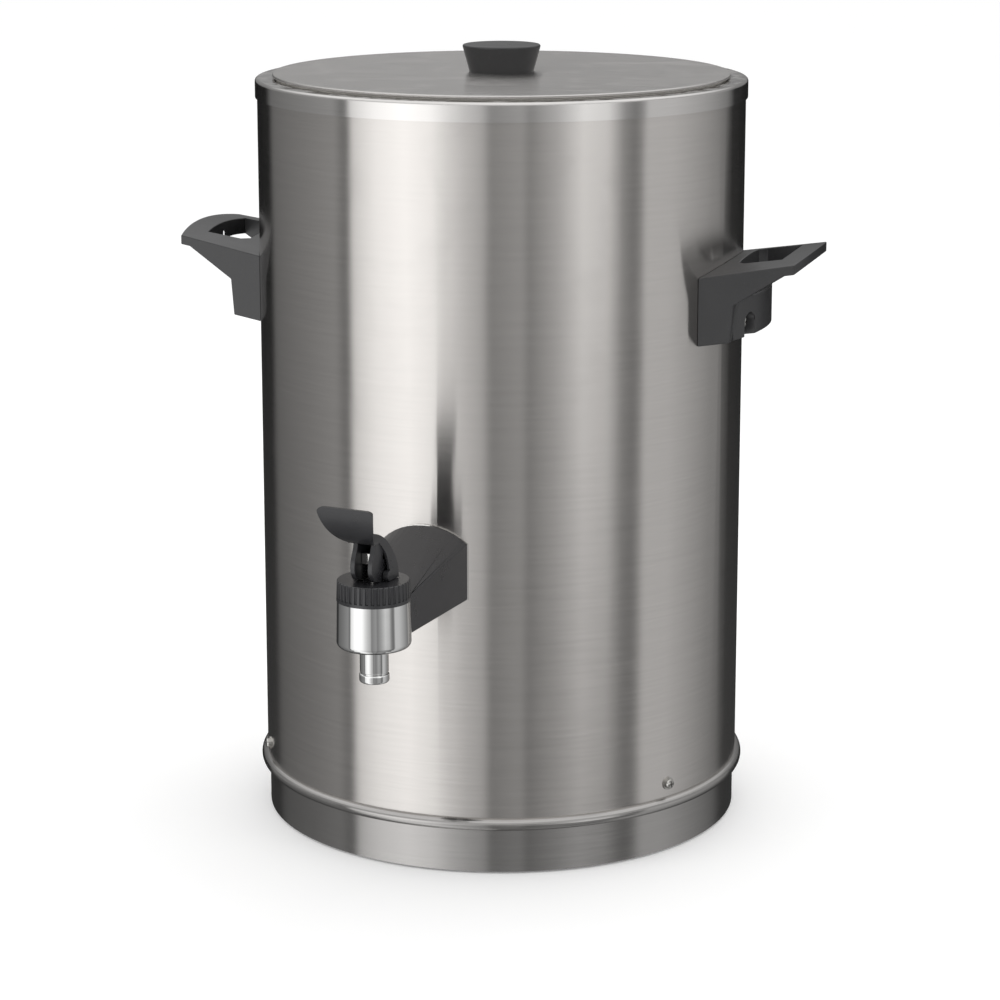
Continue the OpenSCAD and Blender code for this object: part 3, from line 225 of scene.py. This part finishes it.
class Finish(Graph):
    """A material with one surface shader, and the place on the object that its patterns read."""

    def __init__(self, name, **values):
        self.material = bpy.data.materials.new(name)
        self.material.use_nodes = True
        super().__init__(self.material.node_tree)
        self.tree.nodes.clear()
        self.shader = self.add("ShaderNodeBsdfPrincipled")
        out = self.add("ShaderNodeOutputMaterial")
        self.tree.links.new(self.shader.outputs[0], out.inputs["Surface"])
        self.place = self.add("ShaderNodeTexCoord").outputs["Object"]
        for label, value in values.items():
            self.shader.inputs[label.replace("_", " ")].default_value = value

    def use(self, group, **inputs):
        """The outputs of one of the effects above, laid on the object."""
        return self.add("ShaderNodeGroup", {"Place": self.place, **inputs}, node_tree=group).outputs

    def set(self, label, value):
        self.feed(self.shader.inputs[label], value)

    def relief(self, height, depth, strength=1.0, under=None):
        """Bump of a depth in metres, on top of the one under it, if any."""
        node = self.add("ShaderNodeBump", {"Height": height, "Distance": depth, "Strength": strength})
        if under is not None:
            self.feed(node.inputs["Normal"], under)
        self.set("Normal", node.outputs[0])
        return node.outputs[0]


# ---------------------------------------------------------------- finishes

AROUND = (25, 25, 900)      # scratches round an upright cylinder
ACROSS = (30, 1300, 30)     # scratches along X on a level sheet
ABOUT_Z = (0, 0, 1)
ABOUT_Y = (0, 1, 0)


def shaded(colour, factor, lift=0.0):
    """A colour made lighter or darker by a factor, and raised evenly by lift."""
    return tuple(min(1, part * factor + lift) for part in colour)


def brushed_steel(name, colour, stretch=AROUND, rough=(0.16, 0.19), streak=1.0, streak_way=ABOUT_Z,
                  wave=0.19 * MM, line_depth=0.0012 * MM):
    """Brushed sheet: scratches one way, so that its lights are drawn out the other way."""
    line_shade, patch_shade, smudge_gloss = 0.16, 0.02, 0.03
    finish = Finish(name, Metallic=1.0, Anisotropic=streak)
    lines = finish.use(BRUSHING, Stretch=stretch)
    smudges = finish.use(HANDLING)
    shade = finish.math("ADD", finish.spread(lines["Lines"], -line_shade, line_shade),
                        finish.spread(lines["Patches"], -patch_shade, patch_shade))
    finish.set("Base Color", finish.mix(finish.math("ADD", shade, 0.5, clamp=True),
                                        shaded(colour, 0.9), shaded(colour, 1.1)))
    finish.set("Roughness", finish.math("ADD", finish.spread(lines["Lines"], *rough),
                                        finish.math("MULTIPLY", smudges["Smudges"], smudge_gloss)))
    way = finish.add("ShaderNodeCombineXYZ", dict(zip("XYZ", streak_way)))
    finish.set("Tangent", way.outputs[0])
    under = finish.relief(finish.use(SHEET_WAVES)["Height"], wave)
    finish.relief(lines["Lines"], line_depth, under=under)
    return finish.material


def polished_metal(name, colour, rough, wave=0.0):
    """Bright plated or polished metal with the faintest smudging."""
    dust_share = 0.35
    finish = Finish(name, Metallic=1.0)
    smudges = finish.use(HANDLING)
    finish.set("Roughness", finish.spread(smudges["Smudges"], *rough))
    finish.set("Base Color", finish.mix(finish.math("MULTIPLY", smudges["Dust"], dust_share),
                                        colour, shaded(colour, 0.9)))
    under = None
    if wave:
        under = finish.relief(finish.use(SHEET_WAVES)["Height"], wave)
    finish.relief(finish.noise(finish.place, 700.0, detail=2), 0.003 * MM, under=under)
    return finish.material


def pressed_metal(name, colour, rough=(0.32, 0.46), grain=420.0):
    """Pressed or turned sheet as it comes from the mill, with a fine even grain."""
    finish = Finish(name, Metallic=1.0)
    height = finish.noise(finish.place, grain, detail=4, rough=0.65)
    patches = finish.use(BRUSHING, Stretch=(160, 160, 60))
    finish.set("Roughness", finish.spread(patches["Patches"], *rough))
    finish.set("Base Color", finish.mix(finish.spread(height, 0.0, 1.0, 0.3, 0.7),
                                        shaded(colour, 0.82), colour))
    finish.relief(height, 0.006 * MM)
    return finish.material


def moulded_plastic(name, colour, rough, depth=0.02 * MM):
    """Black moulding with a fine texture, a faint flow in its gloss and a little dust."""
    flow_share, dust_share, dust_colour = 0.35, 0.06, (0.25, 0.25, 0.25)
    finish = Finish(name, IOR=1.58)
    texture = finish.use(MOULDING, Grain=2600.0)
    handled = finish.use(HANDLING)
    finish.set("Roughness", finish.spread(texture["Flow"], *rough))
    flowed = finish.mix(finish.math("MULTIPLY", texture["Flow"], flow_share),
                        colour, shaded(colour, 1.5, 0.01))
    finish.set("Base Color", finish.mix(finish.math("MULTIPLY", handled["Dust"], dust_share),
                                        flowed, dust_colour))
    finish.relief(texture["Height"], depth, 0.6)
    return finish.material


def rubber(name, colour, rough=(0.55, 0.72)):
    """Rubber or silicone with a coarser texture than a hard moulding's, and paler smudges."""
    smudge_share = 0.3
    finish = Finish(name, IOR=1.45)
    texture = finish.use(MOULDING, Grain=1500.0)
    handled = finish.use(HANDLING)
    finish.set("Base Color", finish.mix(finish.math("MULTIPLY", handled["Smudges"], smudge_share),
                                        colour, shaded(colour, 0.7, 0.08)))
    finish.set("Roughness", finish.spread(texture["Flow"], *rough))
    finish.relief(texture["Height"], 0.03 * MM, 0.7)
    return finish.material


def stoneware(name):
    """Unglazed white insulating ceramic of a thermostat's body."""
    pit_colour, face_colour = (0.62, 0.60, 0.55), (0.74, 0.72, 0.67)
    finish = Finish(name, IOR=1.5)
    pits = finish.noise(finish.place, 1800.0, detail=3, rough=0.7)
    finish.set("Base Color", finish.mix(finish.spread(pits, 0, 1, 0.35, 0.65), pit_colour, face_colour))
    finish.set("Roughness", finish.spread(pits, 0.6, 0.8))
    finish.relief(pits, 0.05 * MM)
    return finish.material


def wool(name):
    """Yellowish mineral wool with matted fibres."""
    deep_colour, face_colour = (0.42, 0.33, 0.16), (0.76, 0.66, 0.40)
    fibre_scale = (260, 260, 900)
    finish = Finish(name, IOR=1.4, Sheen_Weight=0.25)
    fibres = finish.noise(finish.vector("MULTIPLY", finish.place, fibre_scale), 1.0,
                          detail=5, rough=0.7, warp=2.2)
    tufts = finish.noise(finish.place, 60.0, detail=4, rough=0.6)
    both = finish.math("MULTIPLY", finish.math("ADD", fibres, tufts), 0.5)
    finish.set("Base Color", finish.mix(finish.spread(both, 0, 1, 0.35, 0.65), deep_colour, face_colour))
    finish.set("Roughness", finish.spread(fibres, 0.8, 0.95))
    finish.relief(both, 0.6 * MM)
    return finish.material


def sleeving(name, colour, second=None):
    """A wire's woven silicone sleeve, with a second colour in bands where it has one."""
    band_start = 0.62
    finish = Finish(name, IOR=1.45)
    weave = finish.add("ShaderNodeTexWave", {"Vector": finish.place, "Scale": 620.0, "Distortion": 1.5,
                                             "Detail": 1.0}, bands_direction="DIAGONAL").outputs["Fac"]
    base = finish.mix(weave, colour, shaded(colour, 1.25, 0.02))
    if second:
        bands = finish.add("ShaderNodeTexWave", {"Vector": finish.place, "Scale": 60.0},
                           bands_direction="Z").outputs["Fac"]
        base = finish.mix(finish.math("GREATER_THAN", bands, band_start), base, second)
    finish.set("Base Color", base)
    finish.set("Roughness", finish.spread(weave, 0.45, 0.6))
    finish.relief(weave, 0.06 * MM)
    return finish.material


# One finish for each material slot of the record, in linear colours
finishes = {
    "shell_steel": brushed_steel("shell_steel_finish", (0.605, 0.583, 0.562)),
    "base_steel": brushed_steel("base_steel_finish", (0.42, 0.41, 0.4), rough=(0.16, 0.2)),
    "rim_steel": brushed_steel("rim_steel_finish", (0.66, 0.645, 0.63), rough=(0.14, 0.18),
                               wave=0.04 * MM),
    "lid_steel": brushed_steel("lid_steel_finish", (0.58, 0.565, 0.55), stretch=ACROSS,
                               rough=(0.16, 0.2), streak_way=ABOUT_Y, wave=0.05 * MM),
    "vessel_steel": brushed_steel("vessel_steel_finish", (0.62, 0.61, 0.59), rough=(0.32, 0.38),
                                  streak=0.3, line_depth=0.0005 * MM),
    "plain_steel": pressed_metal("plain_steel_finish", (0.55, 0.54, 0.53)),
    "bright_steel": polished_metal("bright_steel_finish", (0.7, 0.69, 0.67), rough=(0.1, 0.2)),
    "fastener_steel": polished_metal("fastener_steel_finish", (0.5, 0.49, 0.47), rough=(0.18, 0.32)),
    "spreader_aluminium": pressed_metal("spreader_aluminium_finish", (0.72, 0.73, 0.74), grain=260.0),
    "element_steel": pressed_metal("element_steel_finish", (0.24, 0.22, 0.2), rough=(0.4, 0.6)),
    "stat_ceramic": stoneware("stat_ceramic_finish"),
    "tap_chrome": polished_metal("tap_chrome_finish", (0.78, 0.78, 0.775), rough=(0.03, 0.07),
                                 wave=0.02 * MM),
    "handle_black": moulded_plastic("handle_black_finish", (0.019, 0.019, 0.02), rough=(0.28, 0.37)),
    "tap_black": moulded_plastic("tap_black_finish", (0.016, 0.016, 0.018), rough=(0.25, 0.34)),
    "knob_black": moulded_plastic("knob_black_finish", (0.016, 0.016, 0.017), rough=(0.26, 0.36),
                                  depth=0.01 * MM),
    "inlet_black": moulded_plastic("inlet_black_finish", (0.02, 0.02, 0.02), rough=(0.4, 0.5)),
    "contact_brass": polished_metal("contact_brass_finish", (0.72, 0.54, 0.25), rough=(0.15, 0.28)),
    "silicone": rubber("silicone_finish", (0.62, 0.6, 0.56), rough=(0.35, 0.5)),
    "foot_rubber": rubber("foot_rubber_finish", (0.03, 0.03, 0.03)),
    "mineral_wool": wool("mineral_wool_finish"),
    "wire_brown": sleeving("wire_brown_finish", (0.16, 0.07, 0.03)),
    "wire_blue": sleeving("wire_blue_finish", (0.03, 0.1, 0.38)),
    "wire_green": sleeving("wire_green_finish", (0.03, 0.28, 0.06), (0.75, 0.62, 0.04)),
}

slot_of = {}
for name, node in nodes.items():
    slot_of[name] = node.material_slots[0].material.name.split(".")[0]
    node.material_slots[0].material = finishes[slot_of[name]]

# ---------------------------------------------------------------- pieces that stand for a node

MERGE_DISTANCE = 0.02 * MM
FLAT_ANGLE = math.radians(0.3)      # faces that bend less than this are one
EDGE_ANGLE = math.radians(28)       # edges that bend more than this are rounded
EDGE_SEGMENTS = 3

# Body and radius of the mould's edges, in millimetres
MOULDINGS = {
    "handle_left": ("root", 0.6),
    "handle_right": ("root", 0.6),
    "tap_lever": ("tap_lever", 0.35),
    "tap_arm_cover": ("root", 0.6),
}


def merged_copy(name, body, suffix):
    """A CAD node again as one closed mesh, which stands for the node and rides on its body."""
    mesh = bpy.data.meshes.new(name + suffix)
    shape = bmesh.new()
    shape.from_mesh(nodes[name].data)
    bmesh.ops.remove_doubles(shape, verts=shape.verts, dist=MERGE_DISTANCE)
    bmesh.ops.dissolve_limit(shape, angle_limit=FLAT_ANGLE, verts=shape.verts, edges=shape.edges)
    shape.to_mesh(mesh)
    shape.free()
    normals = mesh.attributes.get("custom_normal")
    if normals:
        mesh.attributes.remove(normals)
    mesh.materials.clear()
    mesh.materials.append(finishes[slot_of[name]])
    mesh.polygons.foreach_set("use_smooth", [True] * len(mesh.polygons))
    piece = bpy.data.objects.new(name + suffix, mesh)
    bpy.context.scene.collection.objects.link(piece)
    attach(piece, body)
    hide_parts(name)
    return piece


def rounded_copy(name, body, radius):
    """A moulding with its sharp edges rounded as a mould's are."""
    piece = merged_copy(name, body, "_rounded")
    piece.data.set_sharp_from_angle(angle=EDGE_ANGLE)
    edge = piece.modifiers.new("edges", "BEVEL")
    edge.limit_method = "ANGLE"
    edge.angle_limit = EDGE_ANGLE
    edge.width = radius
    edge.segments = EDGE_SEGMENTS
    edge.use_clamp_overlap = False
    edge.harden_normals = True


def pressed_spring():
    """The valve's spring as one merged mesh of its own, which rides on the root body."""
    spring = merged_copy("valve_spring", "root", "_coil")
    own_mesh(spring)


for name, (body, radius) in MOULDINGS.items():
    rounded_copy(name, body, radius * MM)
pressed_spring()

# ---------------------------------------------------------------- floor and studio light

FLOOR_RADIUS = 9.0
FLOOR_SHADE = 0.95
FLOOR_GLOW = 0.13       # lifts the floor to the background's white

# What the urn mirrors at table height and low down: (angle, brightness high, brightness low). The
# angle is in degrees from the camera's side, and it grows to the camera's right.
STUDIO = [
    # the dark space behind the urn, on the left
    (-180, 0.15, 0.12), (-175, 0.1, 0.08), (-167, 0.01, 0.04), (-141, 0.01, 0.05), (-134, 0.18, 0.13),
    # a grey wall, with a gap before the softbox
    (-105, 0.28, 0.2), (-84, 0.36, 0.28), (-78, 0.18, 0.17), (-75.5, 0.3, 0.3),
    # the big softbox on the left
    (-73.5, 1.02, 0.88), (-60, 1.6, 1.14), (-46, 1.88, 1.26), (-33, 1.72, 1.0), (-25, 1.3, 0.72),
    (-17, 0.94, 0.54), (-9, 0.67, 0.45),
    # the grey gap round the camera
    (-5, 0.34, 0.22), (4, 0.42, 0.28), (9, 0.47, 0.3), (13, 0.33, 0.2),
    # the second softbox, on the right
    (25, 0.7, 0.28), (38, 1.4, 0.32), (50, 1.2, 0.26), (58, 0.42, 0.18), (64, 0.22, 0.15),
    # a pale wall on the right
    (68, 0.34, 0.27), (71, 0.7, 0.57), (86, 0.67, 0.57), (111, 0.44, 0.33), (129, 0.24, 0.18),
    # the dark space behind the urn, on the right
    (137, 0.02, 0.06), (168, 0.01, 0.04),
]
STUDIO_PEAK = 1.9           # brightness at the top of a ramp
LOW_RISE = -0.31            # below this rise a ray meets the low brightness only
HIGH_RISE = -0.11           # and above this one the high brightness only
WALL_TOP = 0.3              # the rise where the walls have faded out

# What the urn mirrors above: (rise, share of the ceiling's brightness)
CEILING = [(0.0, 0.0), (0.04, 0.2), (0.3, 0.25), (0.48, 0.7), (0.7, 1.0)]
CEILING_PEAK = 1.15

DIFFUSE_LIGHT = 0.91        # the even light that matt surfaces get


def pale_floor():
    """A wide plain floor, left out of what the metal mirrors."""
    shape = bmesh.new()
    bmesh.ops.create_circle(shape, cap_ends=True, radius=FLOOR_RADIUS, segments=96)
    mesh = bpy.data.meshes.new("floor")
    shape.to_mesh(mesh)
    shape.free()
    floor = bpy.data.objects.new("floor", mesh)
    bpy.context.scene.collection.objects.link(floor)
    finish = Finish("floor_finish", Roughness=1.0, Specular_IOR_Level=0.0, Emission_Strength=FLOOR_GLOW)
    finish.set("Base Color", (FLOOR_SHADE, FLOOR_SHADE, FLOOR_SHADE, 1))
    finish.set("Emission Color", WHITE)
    mesh.materials.append(finish.material)
    floor.visible_glossy = False


def softbox(name, place, aim, size, power):
    """A soft area light, for matt surfaces and shadows only: the metal mirrors the studio."""
    lamp_data = bpy.data.lights.new(name, "AREA")
    lamp_data.shape = "RECTANGLE"
    lamp_data.size, lamp_data.size_y = size
    lamp_data.energy = power
    lamp = bpy.data.objects.new(name, lamp_data)
    lamp.location = place
    lamp.rotation_mode = "QUATERNION"
    lamp.rotation_quaternion = (Vector(aim) - Vector(place)).to_track_quat("-Z", "Y")
    lamp.visible_glossy = False
    bpy.context.scene.collection.objects.link(lamp)


def studio_world():
    """White behind the object, an even light on matt surfaces, and the studio in what mirrors it."""
    world = bpy.data.worlds.new("studio")
    world.use_nodes = True
    bpy.context.scene.world = world
    graph = Graph(world.node_tree)
    world.node_tree.nodes.clear()
    way = graph.add("ShaderNodeTexCoord").outputs["Generated"]
    towards = (math.sin(CAMERA_AZIMUTH), -math.cos(CAMERA_AZIMUTH), 0)
    aside = (math.cos(CAMERA_AZIMUTH), math.sin(CAMERA_AZIMUTH), 0)
    turn = graph.math("ARCTAN2", graph.vector("DOT_PRODUCT", way, aside),
                      graph.vector("DOT_PRODUCT", way, towards))
    share = graph.math("ADD", graph.math("DIVIDE", turn, 2 * math.pi), 0.5)
    rise = graph.add("ShaderNodeSeparateXYZ", {"Vector": way}).outputs["Z"]
    high, low = (graph.ramp(share, [(stop[0] / 360 + 0.5, stop[level] / STUDIO_PEAK) for stop in STUDIO])
                 for level in (1, 2))
    bands = graph.mix(graph.spread(rise, 0.0, 1.0, LOW_RISE, HIGH_RISE), low, high)
    walls = graph.math("MULTIPLY", graph.math("MULTIPLY", bands, STUDIO_PEAK),
                       graph.spread(rise, 1.0, 0.0, 0.0, WALL_TOP))
    glossy = graph.math("ADD", walls, graph.math("MULTIPLY", graph.ramp(rise, CEILING), CEILING_PEAK))
    rays = graph.add("ShaderNodeLightPath").outputs
    diffuse = graph.math("MULTIPLY", rays["Is Diffuse Ray"], DIFFUSE_LIGHT)
    other = graph.math("SUBTRACT", 1.0, graph.math("ADD", rays["Is Diffuse Ray"], rays["Is Camera Ray"]),
                       clamp=True)
    strength = graph.math("ADD", graph.math("ADD", diffuse, rays["Is Camera Ray"]),
                          graph.math("MULTIPLY", glossy, other))
    back = graph.add("ShaderNodeBackground", {"Color": WHITE, "Strength": strength})
    out = graph.add("ShaderNodeOutputWorld")
    world.node_tree.links.new(back.outputs[0], out.inputs["Surface"])


pale_floor()
studio_world()
softbox("overhead_softbox", place=(0.1, 0.6, 2.1), aim=(0, 0, 0.1), size=(1.5, 1.5), power=8)
softbox("left_softbox", place=(-1.7, -1.7, 1.5), aim=(0, 0, 0.25), size=(1.2, 1.2), power=9)
softbox("right_softbox", place=(2.0, -0.6, 1.3), aim=(0, 0, 0.25), size=(0.9, 1.4), power=4)
